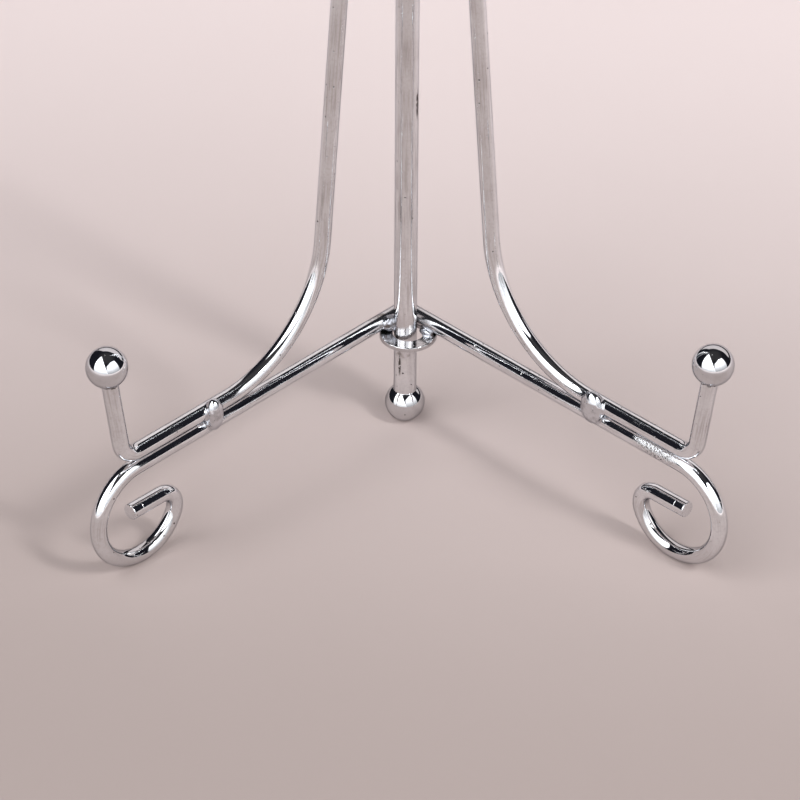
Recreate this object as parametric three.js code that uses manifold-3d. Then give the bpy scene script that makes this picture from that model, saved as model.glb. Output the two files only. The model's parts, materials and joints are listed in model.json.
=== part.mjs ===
// A folding display easel bent from chrome-plated steel wire. Millimetres, +Z up.
//
// A straight rear post stands on a ball. Two wings spread from it in a V: each wing is a foot wire
// that runs level from the post and curls down to the table, and an upright that comes down from
// the top of the post, lies along the foot wire and turns up into a prong with a ball on its end.
// The left wing is welded to the post. The right wing is welded to two washers that are threaded
// on the post, so it turns about the post and folds flat against the left wing.
//
// The origin is the point of the table under the post. +X is to the viewer's right and -Y is the
// front, where the wings reach to. A wing is drawn in its own frame: x runs outward from the post
// (inward on the left wing, which is the mirror image), y is the distance behind the post's axis
// and z is the height.

import * as THREE from 'three';
import { mergeVertices } from 'three/addons/utils/BufferGeometryUtils.js';
import Module from 'manifold-3d';

// ---- driving dimensions ----

const WIRE_D = 5;                  // both wires of each wing
const POST_D = 7;
const BALL_D = 12.3;
const GAP = 0.25;                  // left between pieces that touch or are welded
const TOTAL_HEIGHT = 381;

const WING_ANGLE = 45;             // degrees, from the X axis towards the front
const ARM_OVERRUN = 3.5;           // the arms run past the post and nearly meet behind it

const CURL_START = 106;            // outward distance where the level arm turns down
const CURL_UPPER_R = 15.6;         // from level to straight down
const CURL_LOWER_R = 17;           // from straight down to along the table
const CURL_LOWER_TURN = 87.5;      // degrees
const CURL_INNER_R = 13.9;         // up the inner side
const CURL_INNER_TURN = 71.5;
const CURL_EYE_R = 6;              // the tight turn that leads back out
const CURL_TAIL = 11.7;            // the straight end inside the curl
const CURL_TAIL_RISE = 1;          // degrees above level

const UPRIGHT_LEAN = 5.3;          // degrees off vertical, towards the post at the top
const UPRIGHT_BEND_R = 40.6;
const UPRIGHT_RUN_START = 69.4;    // where the upright comes to lie on the foot wire
const UPRIGHT_RUN_END = 105.3;
const UPRIGHT_TOP = 356;

const PRONG_BEND_R = 6.4;
const PRONG_LEAN = 7.9;            // degrees off vertical, outward
const PRONG_LENGTH = 29.9;         // from the bend to the centre of the ball
const SOCKET_DEPTH = 4;            // how far a rod goes into its ball

const WASHER_OUTER_D = 17.6;
const WASHER_INNER_D = 9.6;
const WASHER_T = 1.6;
const WASHER_CHAMFER = 0.3;
const WASHER_SHIFT = 0.9;          // the loose washers sit off the post's axis, to the right

// The half-axes of each weld bead: along the wing, behind it and up.
const LEFT_BRACE_WELD = [3, 2.6, 5.4];
const RIGHT_BRACE_WELD = [4, 2.6, 5.4];
const LEFT_BRACE_WELD_X = 76.8;    // hand-placed, so the two sides differ
const RIGHT_BRACE_WELD_X = 73;
const BRACE_WELD_RISE = 2;         // above the middle between the two wires
const ARM_TO_POST_WELD = [2.4, 1.7, 2.4];
const ARM_TO_POST_WELD_X = 3;
const TOP_TO_POST_WELD = [1.8, 1.7, 4.5];
const TOP_TO_POST_WELD_X = 3.6;
const TOP_TO_POST_WELD_DROP = 7;   // below the end of the upright
const ARM_TO_WASHER_WELD = [2.4, 1.3, 1.4];
const ARM_TO_WASHER_WELD_X = 5;
const TOP_TO_WASHER_WELD = [1.7, 1.9, 1.6];
const TOP_TO_WASHER_WELD_X = 4.7;
const BALL_WELD_WIDTH = 0.55;      // the ring of flash under a prong's ball
const BALL_WELD_HEIGHT = 0.5;

// ---- facets ----

const WIRE_SIDES = 12;
const POST_SIDES = 24;
const RING_SIDES = 32;
const BALL_RINGS = 12;
const BEND_STEP = 10;              // degrees of bend per facet
const BEAD_COLUMNS = 16;
const BEAD_ROWS = 10;
const CUTTER_LENGTH = 40;

// ---- derived dimensions ----

const WIRE_R = WIRE_D / 2;
const POST_R = POST_D / 2;
const BALL_R = BALL_D / 2;
const WING_OFFSET = POST_R + WIRE_R + GAP;
const ARM_Z = WIRE_R + CURL_LOWER_R + CURL_UPPER_R;
const RUN_Z = ARM_Z + WIRE_D + GAP;
const TOP_BALL_Z = TOTAL_HEIGHT - BALL_R;
const ROD_END = BALL_R - SOCKET_DEPTH;
const LOWER_WASHER_Z = ARM_Z - WIRE_R - GAP - WASHER_T / 2;
const UPRIGHT_END_RISE = WIRE_R * Math.sin(THREE.MathUtils.degToRad(UPRIGHT_LEAN));
const UPPER_WASHER_Z = UPRIGHT_TOP + UPRIGHT_END_RISE + GAP + WASHER_T / 2;
const LEFT = -1;
const RIGHT = 1;

const radians = THREE.MathUtils.degToRad;

// ---- solids, joined and cut with manifold ----

const wasm = await Module();
wasm.setup();

function toSolid(geometry) {
  const bare = geometry.clone();
  bare.deleteAttribute('normal');
  bare.deleteAttribute('uv');
  const merged = mergeVertices(bare, 1e-5);
  const mesh = new wasm.Mesh({
    numProp: 3,
    vertProperties: new Float32Array(merged.attributes.position.array),
    triVerts: new Uint32Array(merged.index.array),
  });
  return new wasm.Manifold(mesh);
}

function toGeometry(solid) {
  const mesh = solid.getMesh();
  const geometry = new THREE.BufferGeometry();
  geometry.setAttribute('position', new THREE.BufferAttribute(mesh.vertProperties, 3));
  geometry.setIndex(new THREE.BufferAttribute(mesh.triVerts, 1));
  geometry.computeVertexNormals();
  return geometry;
}

// ---- wires ----

// A wire bent in one plane. A straight run is one facet long and a bend has a facet every
// BEND_STEP degrees, so the curve is sampled at its stations and not at equal lengths.
class BentWire extends THREE.Curve {
  constructor(side, x, z, heading) {
    super();
    this.side = side;
    this.x = x;
    this.z = z;
    this.heading = radians(heading);   // 0 is outward, 90 is up
    this.stations = [];
    this.addStation();
  }

  addStation() {
    const across = Math.cos(this.heading);
    const up = Math.sin(this.heading);
    this.stations.push({
      point: new THREE.Vector3(this.side * this.x, WING_OFFSET, this.z),
      tangent: new THREE.Vector3(this.side * across, 0, up),
    });
  }

  straight(length) {
    this.x += length * Math.cos(this.heading);
    this.z += length * Math.sin(this.heading);
    this.addStation();
    return this;
  }

  // A positive angle turns from outward towards up.
  bend(radius, degrees) {
    const facets = Math.ceil(Math.abs(degrees) / BEND_STEP);
    const turn = radians(degrees) / facets;
    const chord = 2 * radius * Math.sin(Math.abs(turn) / 2);
    for (let i = 0; i < facets; i += 1) {
      this.heading += turn / 2;
      this.x += chord * Math.cos(this.heading);
      this.z += chord * Math.sin(this.heading);
      this.heading += turn / 2;
      this.addStation();
    }
    return this;
  }

  stationAt(u) {
    return this.stations[Math.round(u * (this.stations.length - 1))];
  }

  getPointAt(u, target = new THREE.Vector3()) {
    return target.copy(this.stationAt(u).point);
  }

  getTangentAt(u, target = new THREE.Vector3()) {
    return target.copy(this.stationAt(u).tangent);
  }

  geometry() {
    return new THREE.ExtrudeGeometry(circle(WIRE_R, WIRE_SIDES), {
      steps: this.stations.length - 1,
      extrudePath: this,
    });
  }
}

function circle(radius, sides) {
  const corners = [];
  for (let i = 0; i < sides; i += 1) {
    const angle = (2 * Math.PI * i) / sides;
    corners.push(new THREE.Vector2(radius * Math.cos(angle), radius * Math.sin(angle)));
  }
  return new THREE.Shape(corners);
}

function footWire(side) {
  const eyeTurn = 360 - 90 - CURL_LOWER_TURN - CURL_INNER_TURN - CURL_TAIL_RISE;
  return new BentWire(side, -ARM_OVERRUN, ARM_Z, 0)
    .straight(CURL_START + ARM_OVERRUN)
    .bend(CURL_UPPER_R, -90)
    .bend(CURL_LOWER_R, -CURL_LOWER_TURN)
    .bend(CURL_INNER_R, -CURL_INNER_TURN)
    .bend(CURL_EYE_R, -eyeTurn)
    .straight(CURL_TAIL);
}

// The outward distance of the upright's centre line at a height on its straight part.
function uprightX(z) {
  const lean = radians(UPRIGHT_LEAN);
  const bendTopX = UPRIGHT_RUN_START - UPRIGHT_BEND_R * Math.cos(lean);
  const bendTopZ = RUN_Z + UPRIGHT_BEND_R * (1 - Math.sin(lean));
  return bendTopX - (z - bendTopZ) * Math.tan(lean);
}

function uprightWire(side) {
  const bendTopZ = RUN_Z + UPRIGHT_BEND_R * (1 - Math.sin(radians(UPRIGHT_LEAN)));
  const length = (UPRIGHT_TOP - bendTopZ) / Math.cos(radians(UPRIGHT_LEAN));
  return new BentWire(side, uprightX(UPRIGHT_TOP), UPRIGHT_TOP, -90 + UPRIGHT_LEAN)
    .straight(length)
    .bend(UPRIGHT_BEND_R, 90 - UPRIGHT_LEAN)
    .straight(UPRIGHT_RUN_END - UPRIGHT_RUN_START)
    .bend(PRONG_BEND_R, 90 - PRONG_LEAN)
    .straight(PRONG_LENGTH - ROD_END);
}

// ---- turned pieces, with their axis along Z ----

function lathe(profile, sides) {
  const points = profile.map(([radius, height]) => new THREE.Vector2(radius, height));
  return new THREE.LatheGeometry(points, sides).rotateX(Math.PI / 2);
}

// A ball centred on the origin with a blind socket for a rod that comes from below.
function ball(rodRadius) {
  const socketR = rodRadius + GAP;
  const mouth = Math.acos(socketR / BALL_R);
  const profile = [[0, -ROD_END + GAP], [socketR, -ROD_END + GAP]];
  for (let i = 0; i <= BALL_RINGS; i += 1) {
    const angle = -mouth + ((mouth + Math.PI / 2) * i) / BALL_RINGS;
    profile.push([BALL_R * Math.cos(angle), BALL_R * Math.sin(angle)]);
  }
  profile[profile.length - 1][0] = 0;
  return lathe(profile, POST_SIDES);
}

// The ring of weld flash in the corner under a ball, around its rod.
function ballWeld(rodRadius) {
  const inner = rodRadius + GAP;
  const outer = inner + BALL_WELD_WIDTH;
  const clear = BALL_R + GAP;
  const innerTop = -Math.sqrt(clear ** 2 - inner ** 2);
  const outerTop = -Math.sqrt(clear ** 2 - outer ** 2);
  const bottom = -BALL_R - BALL_WELD_HEIGHT;
  return lathe([
    [inner, bottom],
    [outer - BALL_WELD_WIDTH / 3, bottom + BALL_WELD_HEIGHT],
    [outer, outerTop],
    [inner, innerTop],
    [inner, bottom],
  ], POST_SIDES);
}

function washer() {
  const inner = WASHER_INNER_D / 2;
  const outer = WASHER_OUTER_D / 2;
  const half = WASHER_T / 2;
  return lathe([
    [inner, -half],
    [outer - WASHER_CHAMFER, -half],
    [outer, -half + WASHER_CHAMFER],
    [outer, half - WASHER_CHAMFER],
    [outer - WASHER_CHAMFER, half],
    [inner, half],
    [inner, -half],
  ], RING_SIDES);
}

function rod(radius, bottom, top) {
  const length = top - bottom;
  return new THREE.CylinderGeometry(radius, radius, length, POST_SIDES)
    .rotateX(Math.PI / 2)
    .translate(0, 0, (bottom + top) / 2);
}

// ---- weld beads, in a wing's frame ----

// A lump of weld metal, hollowed where it lies against the pieces it joins.
function bead(centre, halfAxes, neighbours) {
  const lump = new THREE.SphereGeometry(1, BEAD_COLUMNS, BEAD_ROWS)
    .scale(...halfAxes)
    .translate(...centre);
  const solid = neighbours.reduce((rest, piece) => rest.subtract(toSolid(piece)), toSolid(lump));
  return toGeometry(solid);
}

// The cutters clear their piece by GAP and are CUTTER_LENGTH long, well past any bead.
function besideArm(side, x, z) {
  return new THREE.CylinderGeometry(WIRE_R + GAP, WIRE_R + GAP, CUTTER_LENGTH, POST_SIDES)
    .rotateZ(Math.PI / 2)
    .translate(side * x, WING_OFFSET, z);
}

function besidePost(z) {
  return rod(POST_R + GAP, z - CUTTER_LENGTH / 2, z + CUTTER_LENGTH / 2);
}

function besideUpright(side, z) {
  return new THREE.CylinderGeometry(WIRE_R + GAP, WIRE_R + GAP, CUTTER_LENGTH, POST_SIDES)
    .rotateX(Math.PI / 2)
    .rotateY(-side * radians(UPRIGHT_LEAN))
    .translate(side * uprightX(z), WING_OFFSET, z);
}

function besideWasher(z) {
  return rod(WASHER_OUTER_D, z - WASHER_T / 2 - GAP, z + WASHER_T / 2 + GAP);
}

// The domed bead on the front of a wing that ties its upright to its foot wire.
function braceWeld(side, x, halfAxes) {
  const height = (ARM_Z + RUN_Z) / 2 + BRACE_WELD_RISE;
  const cuts = [besideArm(side, x, ARM_Z), besideArm(side, x, RUN_Z)];
  return bead([side * x, WING_OFFSET - WIRE_R, height], halfAxes, cuts);
}

// Left arm to post, in the corner between them.
function armToPostWeld() {
  const cuts = [besideArm(LEFT, 0, ARM_Z), besidePost(ARM_Z), besideWasher(LOWER_WASHER_Z)];
  return bead([LEFT * ARM_TO_POST_WELD_X, POST_R, ARM_Z], ARM_TO_POST_WELD, cuts);
}

// Left upright to post, a bead that runs up the groove between them.
function topToPostWeld() {
  const height = UPRIGHT_TOP - TOP_TO_POST_WELD_DROP;
  const cuts = [besideUpright(LEFT, height), besidePost(height)];
  return bead([LEFT * TOP_TO_POST_WELD_X, POST_R, height], TOP_TO_POST_WELD, cuts);
}

// Right arm to the lower washer, in the corner on top of the washer.
function armToWasherWeld() {
  const cuts = [besideArm(RIGHT, 0, ARM_Z), besideWasher(LOWER_WASHER_Z), besidePost(ARM_Z)];
  const front = WING_OFFSET - WIRE_R;
  const height = LOWER_WASHER_Z + WASHER_T;
  return bead([RIGHT * ARM_TO_WASHER_WELD_X, front, height], ARM_TO_WASHER_WELD, cuts);
}

// Right upright to the upper washer, in the corner under the washer.
function topToWasherWeld() {
  const height = UPPER_WASHER_Z - WASHER_T;
  const cuts = [besideUpright(RIGHT, height), besideWasher(UPPER_WASHER_Z), besidePost(height)];
  const centre = [RIGHT * TOP_TO_WASHER_WELD_X, WING_OFFSET - WIRE_R / 2, height];
  return bead(centre, TOP_TO_WASHER_WELD, cuts);
}

// ---- assembly ----

function chrome() {
  return new THREE.MeshStandardMaterial({ color: 0xd6d3d3, roughness: 0.08, metalness: 1 });
}

function platedWeld() {
  return new THREE.MeshStandardMaterial({ color: 0xc2bebd, roughness: 0.22, metalness: 1 });
}

function place(group, name, geometry, material) {
  const mesh = new THREE.Mesh(geometry, material);
  mesh.name = name;
  group.add(mesh);
  return mesh;
}

// The ball and its weld, carried on the end of the prong.
function prongBall(wing, name, side, upright) {
  const centre = upright.straight(ROD_END);
  const head = new THREE.Group();
  head.position.set(side * centre.x, WING_OFFSET, centre.z);
  head.rotation.y = side * radians(PRONG_LEAN);
  place(head, `${name}_prong_ball`, ball(WIRE_R), chrome());
  place(head, `${name}_ball_weld`, ballWeld(WIRE_R), platedWeld());
  wing.add(head);
}

function buildWing(name, side, braceWeldX, braceWeldHalfAxes) {
  const wing = new THREE.Group();
  wing.rotation.z = -side * radians(WING_ANGLE);
  const upright = uprightWire(side);
  place(wing, `${name}_foot_wire`, footWire(side).geometry(), chrome());
  place(wing, `${name}_upright`, upright.geometry(), chrome());
  const brace = braceWeld(side, braceWeldX, braceWeldHalfAxes);
  place(wing, `${name}_brace_weld`, brace, platedWeld());
  prongBall(wing, name, side, upright);
  return wing;
}

const easel = new THREE.Group();

place(easel, 'post', rod(POST_R, BALL_R + ROD_END, TOP_BALL_Z - ROD_END), chrome());
const footBall = place(easel, 'foot_ball', ball(POST_R), chrome());
footBall.position.z = BALL_R;
footBall.rotation.x = Math.PI;
const topBall = place(easel, 'top_ball', ball(POST_R), chrome());
topBall.position.z = TOP_BALL_Z;

const leftWing = buildWing('left', LEFT, LEFT_BRACE_WELD_X, LEFT_BRACE_WELD);
place(leftWing, 'left_arm_weld', armToPostWeld(), platedWeld());
place(leftWing, 'left_top_weld', topToPostWeld(), platedWeld());
easel.add(leftWing);

const rightWing = buildWing('right', RIGHT, RIGHT_BRACE_WELD_X, RIGHT_BRACE_WELD);
place(rightWing, 'right_arm_weld', armToWasherWeld(), platedWeld());
place(rightWing, 'right_top_weld', topToWasherWeld(), platedWeld());
easel.add(rightWing);

const lowerWasher = place(easel, 'lower_washer', washer(), chrome());
lowerWasher.position.set(WASHER_SHIFT, 0, LOWER_WASHER_Z);
const upperWasher = place(easel, 'upper_washer', washer(), chrome());
upperWasher.position.set(WASHER_SHIFT, 0, UPPER_WASHER_Z);

export default easel;
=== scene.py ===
"""The looks of a folding display easel, bent from chrome-plated wire. Metres, +Z up, -Y the front.

A wing is drawn in its own frame, as in the CAD part: x runs outward from the post, y is the
distance behind the post's axis and z is the height. The left wing is the mirror image.
"""

import json
from collections import namedtuple
from itertools import accumulate
from math import acos, ceil, cos, pi, radians, sin, sqrt, tan

import bmesh
import bpy
import numpy as np
from mathutils import Matrix, Quaternion, Vector, noise

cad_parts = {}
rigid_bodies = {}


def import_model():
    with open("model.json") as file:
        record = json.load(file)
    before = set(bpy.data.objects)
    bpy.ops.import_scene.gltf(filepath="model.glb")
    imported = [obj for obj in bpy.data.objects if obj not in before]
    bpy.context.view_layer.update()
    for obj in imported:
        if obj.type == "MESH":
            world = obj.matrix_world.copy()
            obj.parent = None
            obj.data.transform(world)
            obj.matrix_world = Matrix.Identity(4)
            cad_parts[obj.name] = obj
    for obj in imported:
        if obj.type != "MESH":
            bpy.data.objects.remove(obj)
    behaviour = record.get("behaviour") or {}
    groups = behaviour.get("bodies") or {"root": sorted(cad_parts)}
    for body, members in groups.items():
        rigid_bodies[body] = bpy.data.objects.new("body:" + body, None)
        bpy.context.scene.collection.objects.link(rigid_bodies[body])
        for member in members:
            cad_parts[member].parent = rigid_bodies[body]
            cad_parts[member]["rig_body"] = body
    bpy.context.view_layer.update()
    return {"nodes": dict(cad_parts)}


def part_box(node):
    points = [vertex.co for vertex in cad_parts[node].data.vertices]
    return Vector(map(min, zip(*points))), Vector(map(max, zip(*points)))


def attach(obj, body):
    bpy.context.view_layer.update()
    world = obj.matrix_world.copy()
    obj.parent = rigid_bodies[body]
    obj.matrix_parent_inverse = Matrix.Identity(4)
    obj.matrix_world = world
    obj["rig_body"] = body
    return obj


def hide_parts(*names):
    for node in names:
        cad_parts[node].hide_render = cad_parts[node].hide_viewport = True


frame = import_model()

# ---- the easel's dimensions, with every turn and lean in degrees ----

MM = 0.001
WIRE_R = 2.5 * MM
GAP = 0.25 * MM                     # between the post and the wings, and between two wires

WING_ANGLE = radians(45)
ARM_OVERRUN = 3.5 * MM

CURL_START = 106 * MM
CURL_UPPER_R = 15.6 * MM
CURL_LOWER_R = 17 * MM
CURL_LOWER_TURN = 87.5
CURL_INNER_R = 13.9 * MM
CURL_INNER_TURN = 71.5
CURL_EYE_R = 6 * MM
CURL_TAIL = 11.7 * MM
CURL_TAIL_RISE = 1
CURL_TAIL_NICK = 3.4 * MM           # a fine cut round the tail, this far from its end

UPRIGHT_LEAN = 5.3
UPRIGHT_BEND_R = 40.6 * MM
UPRIGHT_RUN_START = 69.4 * MM
UPRIGHT_RUN_END = 105.3 * MM
UPRIGHT_TOP = 356 * MM

PRONG_BEND_R = 6.4 * MM
PRONG_LEAN = 7.9
PRONG_LENGTH = 29.9 * MM            # from the bend to the centre of the ball

WASHER_HOLE_R = 4.8 * MM
WASHER_EDGE = 0.35 * MM

LEFT = -1
RIGHT = 1

# ---- taken from the frame ----

post_low, post_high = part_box("post")
ball_low, ball_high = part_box("foot_ball")
POST_R = (post_high.x - post_low.x) / 2
BALL_R = (ball_high.x - ball_low.x) / 2
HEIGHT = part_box("top_ball")[1].z
WING_OFFSET = POST_R + WIRE_R + GAP
ARM_Z = WIRE_R + CURL_LOWER_R + CURL_UPPER_R
RUN_Z = ARM_Z + 2 * WIRE_R + GAP

UPRIGHT_TILT = radians(UPRIGHT_LEAN)
UPRIGHT_BEND_Z = RUN_Z + UPRIGHT_BEND_R * (1 - sin(UPRIGHT_TILT))

# ---- fineness of the meshes ----

WIRE_SIDES = 48
POST_SIDES = 72
BALL_SIDES = 96
STEP = radians(2.5)                 # of a bend or of a ball's outline
EDGE = 0.25 * MM                    # the rounding of a cut end
EDGE_STEPS = 5
FACE_RINGS = (0.96, 0.6, 0.2)       # on a cut end's flat face, as shares of its radius
ROD_END_RINGS = (0.2, 0.9)          # on the post's flat ends
POLE_GAP = 0.01                     # a ball's outline starts this many radians from its pole
WELD_SUBDIVISIONS = 6


# ---- wires ----

Station = namedtuple("Station", "x z heading radius")


class BentWire:
    """The centre line of a wire bent in one plane, as the stations that its skin passes through."""

    def __init__(self, x, z, degrees):
        self.x, self.z = x, z
        self.heading = radians(degrees)     # 0 degrees is outward, 90 is up
        self.stations = [Station(x, z, self.heading, WIRE_R)]

    def add_station(self, radius=WIRE_R):
        self.stations.append(Station(self.x, self.z, self.heading, radius))

    def move(self, length):
        self.x += length * cos(self.heading)
        self.z += length * sin(self.heading)

    def straight(self, length):
        self.move(length)
        self.add_station()
        return self

    def bend(self, radius, degrees):
        """A positive angle turns from outward towards up."""
        steps = ceil(abs(radians(degrees)) / STEP)
        turn = radians(degrees) / steps
        for _ in range(steps):
            self.heading += turn / 2
            self.move(2 * radius * sin(abs(turn) / 2))
            self.heading += turn / 2
            self.add_station()
        return self

    def nick(self, depth=0.04 * MM, width=0.11 * MM):
        """A fine cut round the wire."""
        for radius in (WIRE_R, WIRE_R, WIRE_R - depth, WIRE_R, WIRE_R):
            self.move(width / 2)
            self.add_station(radius)
        return self


def rim(end, outward):
    """The rings that round a cut end's edge off and run in across its flat face."""

    def ring(back, radius):
        along = -outward * back
        x = end.x + along * cos(end.heading)
        z = end.z + along * sin(end.heading)
        return Station(x, z, end.heading, radius)

    rings = [ring(1.5 * EDGE, end.radius)]      # keeps the edge's shading off the straight wire
    for i in range(EDGE_STEPS + 1):
        angle = pi / 2 * i / EDGE_STEPS
        rings.append(ring(EDGE * (1 - sin(angle)), end.radius - EDGE * (1 - cos(angle))))
    flat = end.radius - EDGE
    return rings + [ring(0, flat * share) for share in FACE_RINGS]


def foot_wire():
    eye_turn = 360 - 90 - CURL_LOWER_TURN - CURL_INNER_TURN - CURL_TAIL_RISE
    return (
        BentWire(-ARM_OVERRUN, ARM_Z, 0)
        .straight(CURL_START + ARM_OVERRUN)
        .bend(CURL_UPPER_R, -90)
        .bend(CURL_LOWER_R, -CURL_LOWER_TURN)
        .bend(CURL_INNER_R, -CURL_INNER_TURN)
        .bend(CURL_EYE_R, -eye_turn)
        .straight(CURL_TAIL - CURL_TAIL_NICK)
        .nick()
        .straight(CURL_TAIL_NICK)
    )


def upright_x(z):
    """The outward distance of the upright's centre line at a height on its straight part."""
    bend_x = UPRIGHT_RUN_START - UPRIGHT_BEND_R * cos(UPRIGHT_TILT)
    return bend_x - (z - UPRIGHT_BEND_Z) * tan(UPRIGHT_TILT)


def upright_wire():
    return (
        BentWire(upright_x(UPRIGHT_TOP), UPRIGHT_TOP, UPRIGHT_LEAN - 90)
        .straight((UPRIGHT_TOP - UPRIGHT_BEND_Z) / cos(UPRIGHT_TILT))
        .bend(UPRIGHT_BEND_R, 90 - UPRIGHT_LEAN)
        .straight(UPRIGHT_RUN_END - UPRIGHT_RUN_START)
        .bend(PRONG_BEND_R, 90 - PRONG_LEAN)
        .straight(PRONG_LENGTH)
    )


def on_wing(side, x, y, z):
    """A point of a wing's frame in the easel's frame."""
    return Matrix.Rotation(-side * WING_ANGLE, 3, "Z") @ Vector((side * x, y, z))


# ---- meshes ----

STREAK_MAP = "round_and_along"


def add_object(name, bm):
    bmesh.ops.recalc_face_normals(bm, faces=bm.faces)
    mesh = bpy.data.meshes.new(name)
    bm.to_mesh(mesh)
    bm.free()
    for polygon in mesh.polygons:
        polygon.use_smooth = True
    obj = bpy.data.objects.new(name, mesh)
    bpy.context.scene.collection.objects.link(obj)
    return obj


def join_rings(bm, rings):
    """Skins a row of rings of vertices with quads."""
    for near, far in zip(rings, rings[1:]):
        for i in range(len(near)):
            bm.faces.new((near[i - 1], near[i], far[i], far[i - 1]))


def ring_of(bm, centre, across, up, radius, sides):
    vertices = []
    for i in range(sides):
        angle = 2 * pi * i / sides
        vertices.append(bm.verts.new(centre + radius * (cos(angle) * across + sin(angle) * up)))
    return vertices


def set_streak_map(bm, rings, distances):
    """Maps a wire's skin: 0 to 1 and back round the wire, and the distance along it."""
    layer = bm.loops.layers.uv.new(STREAK_MAP)
    for ring, distance in zip(rings, distances):
        for i, vertex in enumerate(ring):
            for loop in vertex.link_loops:
                loop[layer].uv = (abs(2 * i / len(ring) - 1), distance)


def skin_wire(name, side, wire):
    """The round skin of a bent wire, with both ends cut off flat."""
    bm = bmesh.new()
    across = on_wing(side, 0, 1, 0)
    stations = rim(wire.stations[0], -1)[::-1] + wire.stations[1:-1] + rim(wire.stations[-1], 1)
    centres = [on_wing(side, s.x, WING_OFFSET, s.z) for s in stations]
    rings = []
    for s, centre in zip(stations, centres):
        along = on_wing(side, cos(s.heading), 0, sin(s.heading))
        rings.append(ring_of(bm, centre, across, along.cross(across), s.radius, WIRE_SIDES))
    join_rings(bm, rings)
    bm.faces.new(rings[0])
    bm.faces.new(rings[-1])
    steps = [(b - a).length for a, b in zip(centres, centres[1:])]
    set_streak_map(bm, rings, [0.0, *accumulate(steps)])
    return add_object(name, bm)


def turned(name, profile, place, sides):
    """A piece turned on a lathe from (radius, height) pairs. place takes its +Z axis into the frame."""
    bm = bmesh.new()
    x, y, z = Vector((1, 0, 0)), Vector((0, 1, 0)), Vector((0, 0, 1))
    rings = [ring_of(bm, height * z, x, y, radius, sides) for radius, height in profile]
    join_rings(bm, rings)
    closed = profile[0] == profile[-1]
    if not closed:
        bm.faces.new(rings[0])
        bm.faces.new(rings[-1])
    set_streak_map(bm, rings, [height for _, height in profile])
    if closed:
        bmesh.ops.remove_doubles(bm, verts=bm.verts, dist=1e-7)
    bm.transform(place)
    return add_object(name, bm)


def arc(centre, radius, start, end):
    """(radius, height) pairs along an arc. The angles are from the horizontal."""
    steps = ceil(abs(end - start) / STEP)
    points = []
    for i in range(steps + 1):
        angle = start + (end - start) * i / steps
        points.append((centre[0] + radius * cos(angle), centre[1] + radius * sin(angle)))
    return points


# ---- welds: lumps that flow into the pieces they join ----

FILLET = 0.9 * MM
SINK = 0.03 * MM                    # how far a lump's skirt dips under its neighbour's skin
SWELL_SCALE = 2.3                   # of the noise that makes a lump uneven
SEARCH_REACH = 1.35                 # how far out the skin is sought, in radii of the lump
SEARCH_STEPS = 60
SEARCH_HALVINGS = 20


def rod_solid(start, end, radius):
    """The signed distance of points from a rod."""
    start, along = np.array(start), np.array(end - start)

    def distance(points):
        offset = points - start
        share = np.clip(offset @ along / (along @ along), 0, 1)
        return np.linalg.norm(offset - share[:, None] * along, axis=1) - radius

    return distance


def washer_solid(node):
    """The signed distance of points from a washer."""
    low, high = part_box(node)
    centre = (low + high) / 2
    half_height = (high.z - low.z) / 2
    outer = (high.x - low.x) / 2
    middle = (outer + WASHER_HOLE_R) / 2
    half_width = (outer - WASHER_HOLE_R) / 2

    def distance(points):
        out = np.hypot(points[:, 0] - centre.x, points[:, 1] - centre.y)
        across = np.abs(out - middle) - half_width
        up = np.abs(points[:, 2] - centre.z) - half_height
        outside = np.hypot(np.maximum(across, 0), np.maximum(up, 0))
        return outside + np.minimum(np.maximum(across, up), 0)

    return distance


def smooth_union(a, b):
    blend = np.maximum(FILLET - np.abs(a - b), 0) / FILLET
    return np.minimum(a, b) - blend * blend * FILLET / 4


def lump_solid(middle, turn, half, swell):
    """About the signed distance from an uneven ellipsoid, with a value of swell for each point."""
    inverse = np.array(turn.inverted())

    def distance(points):
        offset = (points - middle) @ inverse.T / (half * swell[:, None])
        size = np.linalg.norm(offset, axis=1)
        slope = np.linalg.norm(offset / half, axis=1)
        return size * (size - 1) / np.maximum(slope, 1e-9)

    return distance


def skin_along(rays, middle, reach, solid):
    """Where each ray from the middle first leaves the solid, or its end where it never does."""
    near = np.zeros(len(rays))
    for i in range(1, SEARCH_STEPS + 1):
        trial = reach * i / SEARCH_STEPS
        inside = solid(middle + rays * trial[:, None]) < 0
        unbroken = near >= reach * (i - 1) / SEARCH_STEPS - 1e-12
        near = np.where(inside & unbroken, trial, near)
    far = np.minimum(near + reach / SEARCH_STEPS, reach)
    for _ in range(SEARCH_HALVINGS):
        trial = (near + far) / 2
        inside = solid(middle + rays * trial[:, None]) < 0
        near, far = np.where(inside, trial, near), np.where(inside, far, trial)
    return middle + rays * far[:, None]


def weld_lump(name, turn, centre, half_axes, neighbours, lumpiness=0.03):
    """A weld bead: every vertex of a fine ball is carried out to the skin of the joined shape.

    turn takes the bead's own axes into the frame. The skirt of the bead follows its neighbours
    just under their skin, so no edge shows.
    """
    bm = bmesh.new()
    bmesh.ops.create_icosphere(bm, subdivisions=WELD_SUBDIVISIONS, radius=1)
    local = np.array([v.co for v in bm.verts])
    rays = np.array([turn @ v.co for v in bm.verts])
    half = np.array(half_axes)
    middle = np.array(centre)
    swell = np.array([1 + lumpiness * noise.noise(Vector(v) * SWELL_SCALE) for v in local])
    lump = lump_solid(middle, turn, half, swell)

    def joined(points):
        skin_distance = np.min([neighbour(points) for neighbour in neighbours], axis=0)
        return smooth_union(lump(points), skin_distance + SINK)

    reach = SEARCH_REACH / np.linalg.norm(local / half, axis=1)
    for vertex, place in zip(bm.verts, skin_along(rays, middle, reach, joined)):
        vertex.co = place
    return add_object(name, bm)


# ---- the pieces ----


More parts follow.
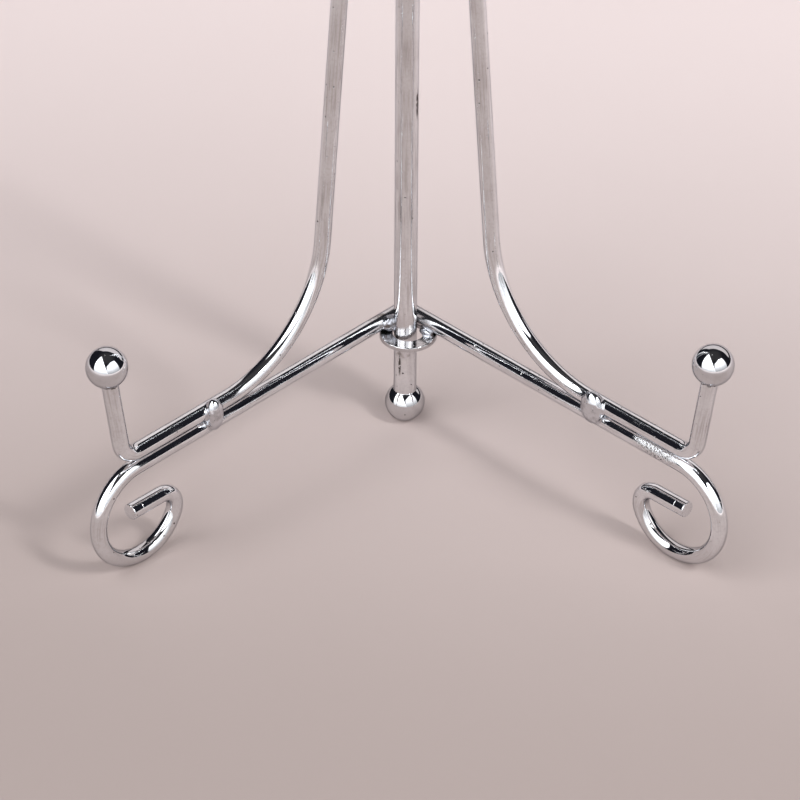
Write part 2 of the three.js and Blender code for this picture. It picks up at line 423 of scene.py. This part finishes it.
def stand_for(piece, node, material):
    """The piece takes the CAD node's place and rides on its body."""
    piece.data.materials.append(material)
    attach(piece, frame["nodes"][node]["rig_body"])
    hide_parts(node)


def post():
    """A plain rod. Its ends are inside the balls."""
    low, high = post_low.z, post_high.z
    heights = (low, low + EDGE, HEIGHT / 4, HEIGHT / 2, high - EDGE, high)
    profile = [(POST_R * share, low) for share in ROD_END_RINGS]
    profile += [(POST_R, z) for z in heights]
    profile += [(POST_R * share, high) for share in ROD_END_RINGS[::-1]]
    return turned("post_finished", profile, Matrix.Identity(4), POST_SIDES)


BALL_FILLET = 0.35 * MM
BALL_LAP = 0.05 * MM                # how far the fillet's edge is turned in under the rod's skin


def ball(name, place, rod_radius):
    """A ball on the end of a rod that comes from below, with a small fillet in the corner."""
    angle = acos((rod_radius + BALL_FILLET) / (BALL_R + BALL_FILLET))
    corner = (rod_radius + BALL_FILLET, -(BALL_R + BALL_FILLET) * sin(angle))
    bottom = corner[1] - BALL_FILLET
    profile = arc((0, 0), BALL_R, pi / 2 - POLE_GAP, -angle)
    profile += arc(corner, BALL_FILLET, pi - angle, pi)[1:]
    profile += [(rod_radius - BALL_LAP, bottom), (rod_radius / 2, bottom)]
    return turned(name, profile, place, BALL_SIDES)


BURR_STATIONS = 2 * BALL_SIDES
BURR_SIDES = 10
BURR_SIZE = 0.42 * MM
BURR_SIZE_SPREAD = 0.22 * MM
BURR_DROP_SPREAD = 0.12 * MM
BURR_OFFSET = 0.05 * MM             # out from the corner between ball and rod, and down from it
BURR_WAVES = ((1.0, 2.1), (0.7, 7.3), (0.5, 19.0))      # the strength and scale of each noise


def burr_ring(name, place, rod_radius):
    """The ragged ring of weld flash under a ball."""
    bm = bmesh.new()
    height = -sqrt(BALL_R**2 - rod_radius**2) - BURR_OFFSET
    up = Vector((0, 0, 1))
    rings = []
    for i in range(BURR_STATIONS):
        turn = 2 * pi * i / BURR_STATIONS
        out = Vector((cos(turn), sin(turn), 0))
        ragged = sum(strength * noise.noise(out * scale) for strength, scale in BURR_WAVES)
        size = BURR_SIZE + BURR_SIZE_SPREAD * ragged
        middle = out * (rod_radius + BURR_OFFSET) + up * (height - BURR_DROP_SPREAD * ragged)
        rings.append(ring_of(bm, middle, out, up, size, BURR_SIDES))
    join_rings(bm, rings + rings[:1])
    bm.transform(place)
    return add_object(name, bm)


def washer(name, node):
    low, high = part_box(node)
    outer = (high.x - low.x) / 2
    half = (high.z - low.z) / 2
    r = WASHER_EDGE
    profile = arc((outer - r, half - r), r, pi / 2, 0)
    profile += arc((outer - r, r - half), r, 0, -pi / 2)
    profile += arc((WASHER_HOLE_R + r, r - half), r, -pi / 2, -pi)
    profile += arc((WASHER_HOLE_R + r, half - r), r, pi, pi / 2)
    profile.append(profile[0])
    place = Matrix.Translation((low + high) / 2)
    return turned(name, profile, place, BALL_SIDES)


# ---- materials ----


class Nodes:
    """Short calls for the nodes of one material or of the world."""

    def __init__(self, owner):
        owner.use_nodes = True
        self.tree = owner.node_tree
        self.tree.nodes.clear()

    def add(self, kind, inputs=None, **settings):
        node = self.tree.nodes.new(kind)
        for key, value in settings.items():
            setattr(node, key, value)
        for key, value in (inputs or {}).items():
            if isinstance(value, bpy.types.NodeSocket):
                self.tree.links.new(value, node.inputs[key])
            else:
                node.inputs[key].default_value = value
        return node

    def math(self, operation, a, b=0.0, clamp=False):
        return self.add("ShaderNodeMath", {0: a, 1: b}, operation=operation, use_clamp=clamp).outputs[0]

    def plus(self, total, value, share, clamp=False):
        """The total with a share of the value added."""
        return self.math("ADD", total, self.math("MULTIPLY", value, share), clamp)

    def ramp(self, value, low, high, start=0.0, end=1.0):
        """A smooth step from start to end as value goes from low to high."""
        inputs = {"Value": value, "From Min": low, "From Max": high, "To Min": start, "To Max": end}
        return self.add("ShaderNodeMapRange", inputs, interpolation_type="SMOOTHSTEP").outputs[0]

    def mix(self, share, a, b):
        return self.add("ShaderNodeMix", {0: share, 6: a, 7: b}, data_type="RGBA").outputs[2]

    def noise(self, vector, scale, detail=2.0, roughness=0.5):
        inputs = {"Vector": vector, "Scale": scale, "Detail": detail, "Roughness": roughness}
        return self.add("ShaderNodeTexNoise", inputs).outputs["Fac"]


CHROME = (0.92, 0.94, 0.965, 1)
CHROME_WARM = (0.84, 0.845, 0.86, 1)
CHROME_DULL = (0.58, 0.57, 0.575, 1)
BALL_CHROME = (0.75, 0.765, 0.79, 1)
BALL_CHROME_WARM = (0.64, 0.645, 0.66, 1)
WELD_CHROME = (0.72, 0.735, 0.765, 1)
WELD_DARK = (0.5, 0.5, 0.52, 1)
# junction welds: dull, clouded weld plating, darkened further as painted shade of the crevices where
# they sit
HUB_SHADED_CHROME = (0.5, 0.52, 0.57, 1)
HUB_CREVICE_SHADE = (0.14, 0.125, 0.12, 1)
# painted shadow under the prongs' balls
BURR_SHADOW_COLOUR = (0.13, 0.115, 0.105, 1)
PIT = (0.1, 0.085, 0.075, 1)
# painted shade: the dark brown of the crevices round the lower junction
HUB_SHADE_COLOUR = (0.1, 0.07, 0.055, 1)
EDGE_TINT = (0.55, 0.55, 0.57, 1)     # chromium reflects less at a glancing angle

# Painted shade round the lower junction, where arms, post and washer crowd together: darker, browner
# plating.
HUB_SHADE_CENTRE = (0, 4 * MM, ARM_Z - 3 * MM)
HUB_SHADE_REACH = (21 * MM, 17 * MM, 11 * MM)
FLOOR_SHADE_RISE = 22 * MM                 # painted shade: the plating is darkened below this height

# The scale of a noise is in waves to the metre.
SMUDGE_SCALE = 90
MOTTLE_SCALE = 1200
WEAR_SCALE = 45
RIPPLE_SCALE = 330
GRAIN_SCALE = 2600
SCRATCH_SCALE = 1300
SPECKLE_SCALE = 1900
BLOTCH_SCALE = 260
STREAK_SCALE = (15, 70, 1)          # waves in half a turn round a wire, and to the metre along it
WELD_CLOUD_SCALE = 420
WELD_RIPPLE_SCALE = 500
BURR_MOTTLE_SCALE = 1100

# Pits are given by their cells to the metre, their size in a cell and the share of cells with one.
COARSE_PITS = (190, 0.08, 0.4)
FINE_PITS = (430, 0.14, 0.3)
WELD_SPECKS = (900, 0.2, 0.3)

CLEAN_ROUGHNESS = 0.025
SMUDGED_ROUGHNESS = 0.13
HUB_SHADE_ROUGHNESS = 0.14              # added where the painted shade round the lower junction lies
PIT_ROUGHNESS = 0.4                 # added in a pit

# Relief is in millimetres.
RIPPLE_HEIGHT = 0.007
GRAIN_HEIGHT = 0.002
STREAK_HEIGHT = 0.006
SPECKLE_HEIGHT = 0.15
BURR_MOTTLE_HEIGHT = 0.12
PIT_DEPTH = 0.05


def pits(nodes, place, scale, size, share):
    """A mask of small round spots: scale cells to the metre, a share of them pitted."""
    cells = nodes.add("ShaderNodeTexVoronoi", {"Vector": place, "Scale": scale})
    spot = nodes.ramp(cells.outputs["Distance"], size, size * 0.4)
    pick = nodes.add("ShaderNodeSeparateColor", {"Color": cells.outputs["Color"]}).outputs[0]
    return nodes.math("MULTIPLY", spot, nodes.ramp(pick, 1 - share, 1 - share * 0.8))


def patch(nodes, place, centre, reach):
    """A mask round a point. reach is its size along each axis."""
    offset = nodes.add("ShaderNodeVectorMath", {0: place, 1: centre}, operation="SUBTRACT").outputs[0]
    offset = nodes.add("ShaderNodeVectorMath", {0: offset, 1: reach}, operation="DIVIDE").outputs[0]
    away = nodes.add("ShaderNodeVectorMath", {0: offset}, operation="LENGTH").outputs["Value"]
    return nodes.ramp(away, 1.0, 0.4)


def streaks(nodes):
    """A pattern of fine lines along a wire."""
    spread = nodes.add("ShaderNodeUVMap", uv_map=STREAK_MAP).outputs[0]
    spread = nodes.add("ShaderNodeMapping", {"Vector": spread, "Scale": STREAK_SCALE}).outputs[0]
    return nodes.noise(spread, 1, 3, 0.6)


def plating(nodes, colour, gloss, height):
    """Ends a metal: its colour, its roughness and its relief in millimetres."""
    bump = nodes.add("ShaderNodeBump", {"Height": height, "Strength": 1.0, "Distance": 1 * MM})
    shader = nodes.add(
        "ShaderNodeBsdfPrincipled",
        {
            "Base Color": colour,
            "Roughness": gloss,
            "Metallic": 1.0,
            "Specular Tint": EDGE_TINT,
            "Normal": bump.outputs[0],
        },
    )
    nodes.add("ShaderNodeOutputMaterial", {"Surface": shader.outputs[0]})


def aged_and_floor_shaded_tone(nodes, place, smudge, bright, warm):
    """The colour of bright plating that is smudged and mottled, with painted shade darkening it near
    the floor.
    """
    tone = nodes.mix(nodes.ramp(smudge, 0.35, 0.75), bright, warm)
    mottle = nodes.ramp(nodes.noise(place, MOTTLE_SCALE, 3, 0.7), 0.45, 0.7, 0.0, 0.3)
    tone = nodes.mix(mottle, tone, CHROME_DULL)
    rise = nodes.add("ShaderNodeSeparateXYZ", {"Vector": place}).outputs["Z"]
    # painted shade: the plating darkens towards the floor
    return nodes.mix(nodes.ramp(rise, FLOOR_SHADE_RISE, 0.0, 0.0, 0.75), tone, CHROME_DULL)


def shaded_at_hub(nodes, place, hub_shade, tone):
    """The tone with painted shade: dull and with brown blotches where the mask puts the shade of the
    lower junction.
    """
    tone = nodes.mix(nodes.math("MULTIPLY", hub_shade, 0.7), tone, CHROME_DULL)
    blotches = nodes.ramp(nodes.noise(place, BLOTCH_SCALE, 3), 0.55, 0.68)
    return nodes.mix(nodes.math("MULTIPLY", blotches, hub_shade), tone, HUB_SHADE_COLOUR)


def scratch(nodes, place, centre, reach):
    """The mask of a ragged scratch."""
    ragged = nodes.ramp(nodes.noise(place, SCRATCH_SCALE, 2), 0.36, 0.46)
    return nodes.math("MULTIPLY", patch(nodes, place, centre, reach), ragged)


def chrome(name, bright=CHROME, warm=CHROME_WARM, drawn=True, scratches=(), rough_patches=()):
    """Bright plating: slightly wavy, faintly smudged, with fine pits, and with painted shade near the
    floor and round the lower junction.

    Drawn wire has fine lines along it. A scratch or a rough patch is a (centre, reach) pair.
    """
    material = bpy.data.materials.new(name)
    nodes = Nodes(material)
    place = nodes.add("ShaderNodeTexCoord").outputs["Object"]
    smudge = nodes.noise(place, SMUDGE_SCALE, 4, 0.6)
    tone = aged_and_floor_shaded_tone(nodes, place, smudge, bright, warm)
    fine_pits = pits(nodes, place, *FINE_PITS)
    spots = nodes.math("MAXIMUM", pits(nodes, place, *COARSE_PITS), fine_pits)
    height = nodes.math("MULTIPLY", nodes.noise(place, RIPPLE_SCALE, 2), RIPPLE_HEIGHT)
    height = nodes.plus(height, nodes.noise(place, GRAIN_SCALE, 2), GRAIN_HEIGHT)
    if drawn:
        lines = streaks(nodes)
        worn = nodes.ramp(nodes.noise(place, WEAR_SCALE, 3), 0.38, 0.62, 0.1, 0.8)
        faded = nodes.math("MULTIPLY", nodes.ramp(lines, 0.42, 0.66), worn)
        tone = nodes.mix(faded, tone, CHROME_DULL)
        height = nodes.plus(height, lines, STREAK_HEIGHT)
    for centre, reach in scratches:
        spots = nodes.math("MAXIMUM", spots, scratch(nodes, place, centre, reach))
    for centre, reach in rough_patches:
        rough = patch(nodes, place, centre, reach)
        speckle = nodes.noise(place, SPECKLE_SCALE, 3, 0.7)
        height = nodes.plus(height, nodes.math("MULTIPLY", speckle, rough), SPECKLE_HEIGHT)
        bare = nodes.math("MULTIPLY", nodes.ramp(speckle, 0.49, 0.6), rough)
        spots = nodes.math("MAXIMUM", spots, bare)
    # painted shade round the lower junction
    hub_shade = patch(nodes, place, HUB_SHADE_CENTRE, HUB_SHADE_REACH)
    colour = nodes.mix(spots, shaded_at_hub(nodes, place, hub_shade, tone), PIT)
    gloss = nodes.ramp(smudge, 0.4, 0.8, CLEAN_ROUGHNESS, SMUDGED_ROUGHNESS)
    gloss = nodes.plus(gloss, hub_shade, HUB_SHADE_ROUGHNESS)
    gloss = nodes.plus(gloss, spots, PIT_ROUGHNESS, clamp=True)
    plating(nodes, colour, gloss, nodes.plus(height, spots, -PIT_DEPTH))
    return material


def weld_plating(name, bright, dark, roughness):
    """Plating over weld metal: softer and duller, with dark specks."""
    material = bpy.data.materials.new(name)
    nodes = Nodes(material)
    place = nodes.add("ShaderNodeTexCoord").outputs["Object"]
    cloud = nodes.noise(place, WELD_CLOUD_SCALE, 3, 0.6)
    specks = pits(nodes, place, *WELD_SPECKS)
    tone = nodes.mix(nodes.ramp(cloud, 0.45, 0.7), bright, dark)
    colour = nodes.mix(specks, tone, PIT)
    gloss = nodes.ramp(cloud, 0.35, 0.7, roughness, roughness * 2)
    height = nodes.math("MULTIPLY", nodes.noise(place, WELD_RIPPLE_SCALE, 2), RIPPLE_HEIGHT)
    plating(nodes, colour, gloss, nodes.plus(height, specks, -PIT_DEPTH))
    return material


def burr_shadow():
    """Painted shadow under the prongs' balls: dark, mottled metal on the rings of weld flash."""
    material = bpy.data.materials.new("burr_shadow")
    nodes = Nodes(material)
    place = nodes.add("ShaderNodeTexCoord").outputs["Object"]
    burr_mottle = nodes.noise(place, BURR_MOTTLE_SCALE, 4, 0.7)
    colour = nodes.mix(nodes.ramp(burr_mottle, 0.45, 0.65), BURR_SHADOW_COLOUR, CHROME_DULL)
    gloss = nodes.ramp(burr_mottle, 0.3, 0.7, 0.5, 0.3)
    plating(nodes, colour, gloss, nodes.math("MULTIPLY", burr_mottle, BURR_MOTTLE_HEIGHT))
    return material


# Painted light on the paper: darker at the front, lighter at the back right and far away.
PAPER_FRONT_SHADED = (0.44, 0.365, 0.342, 1)
PAPER_BACK_LIT = (0.87, 0.755, 0.738, 1)
PAPER_FAR_LIT = (0.92, 0.83, 0.81, 1)
PAPER_LIGHT_GRADE = (-0.16, 0.36)         # from darkest to lightest, in metres behind the post
PAPER_LIGHT_SKEW = 0.2                    # metres further along that grade for each metre to the right
PAPER_FAR_LIGHT_GRADE = (0.3, 0.9)        # in metres from the post
PAPER_CLOUD_SCALE = 5
PAPER_CLOUD_SHIFT = 0.06
FIBRE_SCALE = 1500


def floor_paper():
    """Pale paper with painted light: darker at the front, lighter at the back right and far away."""
    material = bpy.data.materials.new("floor_paper")
    nodes = Nodes(material)
    place = nodes.add("ShaderNodeTexCoord").outputs["Object"]
    x, y, _ = nodes.add("ShaderNodeSeparateXYZ", {"Vector": place}).outputs
    depth = nodes.plus(y, x, PAPER_LIGHT_SKEW)
    depth = nodes.plus(depth, nodes.noise(place, PAPER_CLOUD_SCALE, 3), PAPER_CLOUD_SHIFT)
    # painted light: the paper brightens towards the back right
    tone = nodes.mix(nodes.ramp(depth, *PAPER_LIGHT_GRADE), PAPER_FRONT_SHADED, PAPER_BACK_LIT)
    away = nodes.add("ShaderNodeVectorMath", {0: place}, operation="LENGTH").outputs["Value"]
    tone = nodes.mix(nodes.ramp(away, *PAPER_FAR_LIGHT_GRADE), tone, PAPER_FAR_LIT)
    fibre = nodes.noise(place, FIBRE_SCALE, 2)
    bump = nodes.add("ShaderNodeBump", {"Height": fibre, "Strength": 0.1, "Distance": 0.2 * MM})
    shader = nodes.add(
        "ShaderNodeBsdfPrincipled",
        {"Base Color": tone, "Roughness": 0.85, "Normal": bump.outputs[0]},
    )
    nodes.add("ShaderNodeOutputMaterial", {"Surface": shader.outputs[0]})
    return material


# ---- assembly ----


def post_scratch(turn, z, width, length):
    """A scratch along the post. turn is how far round it lies from the post's front, in degrees."""
    angle = radians(turn)
    return (POST_R * sin(angle), -POST_R * cos(angle), z), (width, width, length)


POST_SCRATCHES = [
    post_scratch(60, 115.5 * MM, 0.95 * MM, 6.5 * MM),
    post_scratch(-30, 22 * MM, 0.6 * MM, 5 * MM),
]
ROUGH_PLATING = (
    on_wing(RIGHT, 98 * MM, WING_OFFSET - WIRE_R * 0.6, ARM_Z + WIRE_R * 0.6),
    (10 * MM, 10 * MM, 4.5 * MM),
)

wire_chrome = chrome("wire_chrome")
post_chrome = chrome("post_chrome", scratches=POST_SCRATCHES)
patchy_chrome = chrome("patchy_chrome", rough_patches=[ROUGH_PLATING])
ball_chrome = chrome("ball_chrome", BALL_CHROME, BALL_CHROME_WARM, drawn=False)
washer_chrome = chrome("washer_chrome", BALL_CHROME_WARM, CHROME_DULL, drawn=False)
weld_chrome = weld_plating("weld_chrome", WELD_CHROME, WELD_DARK, roughness=0.07)
# the junction welds' plating carries painted shade of their crevices
shaded_hub_chrome = weld_plating("shaded_hub_chrome", HUB_SHADED_CHROME, HUB_CREVICE_SHADE, roughness=0.2)
burr_shadow_metal = burr_shadow()
foot_wire_chrome = {LEFT: wire_chrome, RIGHT: patchy_chrome}

BRACE_WELD_RISE = 2 * MM
ARM_STRETCH = 40 * MM               # the length of arm that a junction weld can flow into
UPRIGHT_STRETCH = 60 * MM           # the same of an upright
JUNCTION_LUMPINESS = 0.06


def wing_rod(side, start, end, radius=WIRE_R):
    """A straight stretch of wire, from (x, z) to (x, z), as a solid that a weld can flow into."""
    ends = [on_wing(side, x, WING_OFFSET, z) for x, z in (start, end)]
    return rod_solid(ends[0], ends[1], radius)


def build_wing(name, side, brace_weld_x, brace_weld_half_axes):
    foot = skin_wire(f"{name}_foot_wire_finished", side, foot_wire())
    stand_for(foot, f"{name}_foot_wire", foot_wire_chrome[side])
    upright = upright_wire()
    stand_for(skin_wire(f"{name}_upright_finished", side, upright), f"{name}_upright", wire_chrome)

    head = Matrix.Translation(on_wing(side, upright.x, WING_OFFSET, upright.z))
    tilt = Matrix.Rotation(side * radians(PRONG_LEAN), 4, "Y")
    head = head @ Matrix.Rotation(-side * WING_ANGLE, 4, "Z") @ tilt
    stand_for(ball(f"{name}_prong_ball_finished", head, WIRE_R), f"{name}_prong_ball", ball_chrome)
    # the ring of flash carries the painted shadow under the ball
    stand_for(burr_ring(f"{name}_ball_weld_finished", head, WIRE_R), f"{name}_ball_weld", burr_shadow_metal)

    turn = Matrix.Rotation(-side * WING_ANGLE, 3, "Z")
    bead_z = (ARM_Z + RUN_Z) / 2 + BRACE_WELD_RISE
    centre = on_wing(side, brace_weld_x, WING_OFFSET - WIRE_R, bead_z)
    wires = [
        wing_rod(side, (0, ARM_Z), (CURL_START, ARM_Z)),
        wing_rod(side, (UPRIGHT_RUN_START, RUN_Z), (UPRIGHT_RUN_END, RUN_Z)),
    ]
    bead = weld_lump(f"{name}_brace_weld_finished", turn, centre, brace_weld_half_axes, wires)
    stand_for(bead, f"{name}_brace_weld", weld_chrome)


build_wing("left", LEFT, 76.8 * MM, (3 * MM, 2.6 * MM, 5.4 * MM))
build_wing("right", RIGHT, 73 * MM, (4 * MM, 2.6 * MM, 5.4 * MM))

stand_for(post(), "post", post_chrome)
upside_down = Matrix.Translation((0, 0, BALL_R)) @ Matrix.Rotation(pi, 4, "X")
stand_for(ball("foot_ball_finished", upside_down, POST_R), "foot_ball", ball_chrome)
on_top = Matrix.Translation((0, 0, HEIGHT - BALL_R))
stand_for(ball("top_ball_finished", on_top, POST_R), "top_ball", ball_chrome)
for washer_node in ("lower_washer", "upper_washer"):
    stand_for(washer(f"{washer_node}_finished", washer_node), washer_node, washer_chrome)

post_solid = rod_solid(Vector((0, 0, 0)), Vector((0, 0, HEIGHT)), POST_R)
lower_washer_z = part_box("lower_washer")[1].z
upper_washer_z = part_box("upper_washer")[0].z


def upright_solid(side):
    low_z = UPRIGHT_TOP - UPRIGHT_STRETCH
    return wing_rod(side, (upright_x(low_z), low_z), (upright_x(UPRIGHT_TOP), UPRIGHT_TOP))


def arm_solid(side):
    return wing_rod(side, (-ARM_OVERRUN, ARM_Z), (ARM_STRETCH, ARM_Z))


def junction_weld(node, side, place, half_axes, neighbours):
    turn = Matrix.Rotation(-side * WING_ANGLE, 3, "Z")
    centre = on_wing(side, *place)
    name = f"{node}_finished"
    lump = weld_lump(name, turn, centre, half_axes, neighbours, JUNCTION_LUMPINESS)
    stand_for(lump, node, shaded_hub_chrome)


junction_weld(
    "left_arm_weld",
    LEFT,
    (3 * MM, POST_R, ARM_Z),
    (2.4 * MM, 1.7 * MM, 2.4 * MM),
    [arm_solid(LEFT), post_solid],
)
junction_weld(
    "left_top_weld",
    LEFT,
    (3.6 * MM, POST_R, UPRIGHT_TOP - 7 * MM),
    (1.8 * MM, 1.7 * MM, 4.5 * MM),
    [upright_solid(LEFT), post_solid],
)
junction_weld(
    "right_arm_weld",
    RIGHT,
    (5 * MM, WING_OFFSET - WIRE_R, lower_washer_z + 0.5 * MM),
    (2.4 * MM, 1.3 * MM, 1.4 * MM),
    [arm_solid(RIGHT), washer_solid("lower_washer")],
)
junction_weld(
    "right_top_weld",
    RIGHT,
    (4.7 * MM, WING_OFFSET - WIRE_R / 2, upper_washer_z - 0.5 * MM),
    (1.7 * MM, 1.9 * MM, 1.6 * MM),
    [upright_solid(RIGHT), washer_solid("upper_washer")],
)

# ---- stage ----

FLOOR_SIZE = 12.0


def add_floor():
    bm = bmesh.new()
    bmesh.ops.create_grid(bm, x_segments=8, y_segments=8, size=FLOOR_SIZE / 2)
    floor = add_object("floor", bm)
    floor.data.materials.append(floor_paper())


def compass(azimuth):
    """The level direction at an azimuth: 0 is the front, 90 is +X."""
    return Vector((sin(radians(azimuth)), -cos(radians(azimuth)), 0))


def direction(azimuth, elevation):
    return compass(azimuth) * cos(radians(elevation)) + Vector((0, 0, sin(radians(elevation))))


def add_lamp(name, azimuth, elevation, distance, width, height, radiance):
    """An oval lamp aimed at the easel's foot. The radiance is its brightness as seen from there."""
    light = bpy.data.lights.new(name, "AREA")
    light.shape = "ELLIPSE"
    light.size, light.size_y = width, height
    light.energy = radiance * pi * (pi / 4 * width * height)
    lamp = bpy.data.objects.new(name, light)
    way = direction(azimuth, elevation)
    turn = way.to_track_quat("Z", "Y").to_matrix().to_4x4()
    lamp.matrix_world = Matrix.Translation(way * distance) @ turn
    bpy.context.scene.collection.objects.link(lamp)


def panel(nodes, way, corners, blur):
    """A mask of a soft panel in the sky. Its corners run clockwise as seen from the easel."""
    ways = [direction(*corner) for corner in corners]
    share = 1.0
    for start, end in zip(ways, ways[1:] + ways[:1]):
        inward = end.cross(start).normalized()
        depth = nodes.add("ShaderNodeVectorMath", {0: way, 1: inward}, operation="DOT_PRODUCT")
        share = nodes.math("MULTIPLY", nodes.ramp(depth.outputs["Value"], -blur, blur), share)
    return share


# (azimuth, elevation) of each corner, clockwise from the lower left as seen from the easel
LEFT_PANEL = ((-66, -3), (-116, 66), (10, -3))
RIGHT_PANEL = ((3, -3), (4, 40), (40, 57), (80, 51), (75, -3))
BACKDROP = ((116, 10), (116, 33), (150, 45), (195, 52), (206, 6))

DARK_STUDIO = (0.013, 0.013, 0.018, 1)
CEILING = (0.05, 0.048, 0.05, 1)
PALE_STUDIO = (0.86, 0.79, 0.79, 1)
LEFT_PANEL_LIGHT = (3.3, 3.3, 3.36, 1)
RIGHT_PANEL_LIGHT = (1.9, 1.9, 1.95, 1)
PANEL_BLUR = 0.02                   # half the width of a soft edge, as a sine
BACKDROP_BLUR = 0.03
PANEL_FOOT_SHARE = 0.26             # how bright the panels' feet are against their tops


def add_world():
    """A dark studio with two large soft panels in front and a pale backdrop behind."""
    world = bpy.data.worlds.new("studio")
    bpy.context.scene.world = world
    nodes = Nodes(world)
    way = nodes.add("ShaderNodeTexCoord").outputs["Generated"]
    height = nodes.add("ShaderNodeSeparateXYZ", {"Vector": way}).outputs["Z"]
    colour = nodes.mix(nodes.ramp(height, 0.7, 1.0), DARK_STUDIO, CEILING)
    colour = nodes.mix(panel(nodes, way, BACKDROP, BACKDROP_BLUR), colour, PALE_STUDIO)
    fade = nodes.ramp(height, -0.1, 0.7, PANEL_FOOT_SHARE, 1.0)
    for corners, light in ((LEFT_PANEL, LEFT_PANEL_LIGHT), (RIGHT_PANEL, RIGHT_PANEL_LIGHT)):
        share = nodes.math("MULTIPLY", panel(nodes, way, corners, PANEL_BLUR), fade)
        colour = nodes.mix(share, colour, light)
    background = nodes.add("ShaderNodeBackground", {"Color": colour})
    nodes.add("ShaderNodeOutputWorld", {"Surface": background.outputs[0]})


# fitted to the photo's outlines
CAMERA_AIM = Vector((-1.5 * MM, 0, 6.5 * MM))
CAMERA_AZIMUTH = -1.0
CAMERA_ELEVATION = 36.4
CAMERA_ROLL = 0.35
CAMERA_DISTANCE = 1.355
CAMERA_LENS = 198


def add_camera():
    data = bpy.data.cameras.new("camera")
    data.lens = CAMERA_LENS
    camera = bpy.data.objects.new("camera", data)
    back = direction(CAMERA_AZIMUTH, CAMERA_ELEVATION)
    camera.location = CAMERA_AIM + back * CAMERA_DISTANCE
    camera.rotation_mode = "QUATERNION"
    roll = Quaternion((0, 0, 1), radians(CAMERA_ROLL))
    camera.rotation_quaternion = back.to_track_quat("Z", "Y") @ roll
    bpy.context.scene.collection.objects.link(camera)
    bpy.context.scene.camera = camera


add_floor()
add_world()
add_lamp(
    "key_lamp",
    azimuth=50,
    elevation=46,
    distance=3.0,
    width=0.42,
    height=0.8,
    radiance=35,
)
add_camera()
bpy.context.scene.view_settings.view_transform = "Standard"
